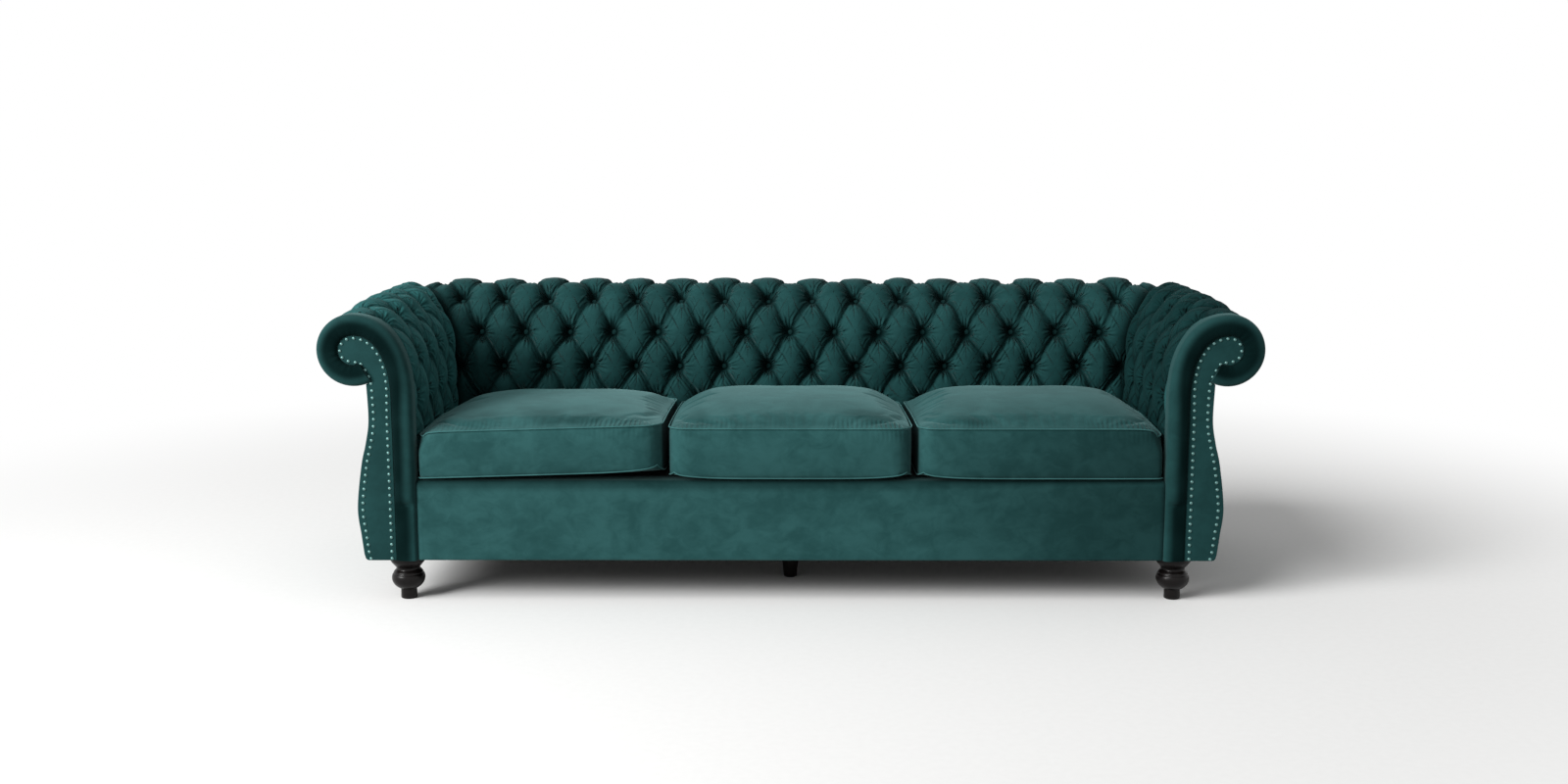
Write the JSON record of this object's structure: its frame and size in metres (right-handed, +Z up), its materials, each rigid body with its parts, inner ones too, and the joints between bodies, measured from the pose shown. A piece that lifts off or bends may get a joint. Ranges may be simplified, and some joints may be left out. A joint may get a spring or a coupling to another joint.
{
  "type": "chesterfield sofa",
  "caption": "Low three-seat sofa with rolled arms and a back of one height, deep-buttoned velvet over a hardwood frame, loose seat cushions and short turned feet.",
  "frame": {"origin": "on the floor, under the middle of the sofa's outline", "axes": "+X to the right as seen from the front, along the seat; +Y to the rear; +Z up"},
  "size_m": [2.14, 0.832, 0.6855],
  "materials": {
    "velvet": "deep teal cotton velvet, soft sheen along the pile",
    "frame_wood": "bare sawn hardwood",
    "foot_wood": "turned, espresso stain under satin lacquer",
    "steel": "drawn spring wire and zinc-plated screws",
    "foam": "open-cell seat foam",
    "black_cloth": "black spunbond cloth",
    "zip_metal": "die-cast zip slider"
  },
  "bodies": {
    "sofa": {"left_arm_tufted_cover": "velvet", "left_arm_front_border": "velvet", "left_arm_facing_panel": "velvet", "left_arm_outer_cover": "velvet", "left_arm_front_board": "frame_wood", "left_arm_rear_board": "frame_wood", "left_arm_top_rail": "frame_wood", "left_arm_tack_rail": "frame_wood", "left_side_rail": "frame_wood", "left_front_corner_block": "frame_wood", "left_rear_corner_block": "frame_wood", "left_outer_back_post": "frame_wood", "left_inner_back_post": "frame_wood", "left_front_foot": "foot_wood", "left_rear_foot": "foot_wood", "left_front_foot_bolt": "steel", "left_rear_foot_bolt": "steel", "right_arm_tufted_cover": "velvet", "right_arm_front_border": "velvet", "right_arm_facing_panel": "velvet", "right_arm_outer_cover": "velvet", "right_arm_front_board": "frame_wood", "right_arm_rear_board": "frame_wood", "right_arm_top_rail": "frame_wood", "right_arm_tack_rail": "frame_wood", "right_side_rail": "frame_wood", "right_front_corner_block": "frame_wood", "right_rear_corner_block": "frame_wood", "right_outer_back_post": "frame_wood", "right_inner_back_post": "frame_wood", "right_front_foot": "foot_wood", "right_rear_foot": "foot_wood", "right_front_foot_bolt": "steel", "right_rear_foot_bolt": "steel", "back_tufted_cover": "velvet", "back_outer_cover": "velvet", "front_apron": "velvet", "back_top_rail": "frame_wood", "front_rail": "frame_wood", "rear_rail": "frame_wood", "centre_stretcher": "frame_wood", "middle_foot": "foot_wood", "middle_foot_bolt": "steel", "deck_pad": "black_cloth", "dust_cover": "black_cloth", "left_seat_springs": "steel", "centre_seat_springs": "steel", "right_seat_springs": "steel"},
    "left_cushion": {"left_cushion_cover": "velvet", "left_cushion_foam_core": "foam", "left_cushion_zip_tape": "black_cloth"},
    "left_zip_slider": {"left_cushion_zip_slider": "zip_metal"},
    "centre_cushion": {"centre_cushion_cover": "velvet", "centre_cushion_foam_core": "foam", "centre_cushion_zip_tape": "black_cloth"},
    "centre_zip_slider": {"centre_cushion_zip_slider": "zip_metal"},
    "right_cushion": {"right_cushion_cover": "velvet", "right_cushion_foam_core": "foam", "right_cushion_zip_tape": "black_cloth"},
    "right_zip_slider": {"right_cushion_zip_slider": "zip_metal"}
  },
  "joints": [
    {"name": "left_cushion_lift", "type": "slide", "parent": "sofa", "child": "left_cushion", "axis": [0, 0, 1], "range_m": [0, 0.42]},
    {"name": "left_zip_slide", "type": "slide", "parent": "left_cushion", "child": "left_zip_slider", "axis": [1, 0, 0], "range_m": [0, 0.42]},
    {"name": "centre_cushion_lift", "type": "slide", "parent": "sofa", "child": "centre_cushion", "axis": [0, 0, 1], "range_m": [0, 0.42]},
    {"name": "centre_zip_slide", "type": "slide", "parent": "centre_cushion", "child": "centre_zip_slider", "axis": [1, 0, 0], "range_m": [0, 0.42]},
    {"name": "right_cushion_lift", "type": "slide", "parent": "sofa", "child": "right_cushion", "axis": [0, 0, 1], "range_m": [0, 0.42]},
    {"name": "right_zip_slide", "type": "slide", "parent": "right_cushion", "child": "right_zip_slider", "axis": [1, 0, 0], "range_m": [0, 0.42]}
  ]
}
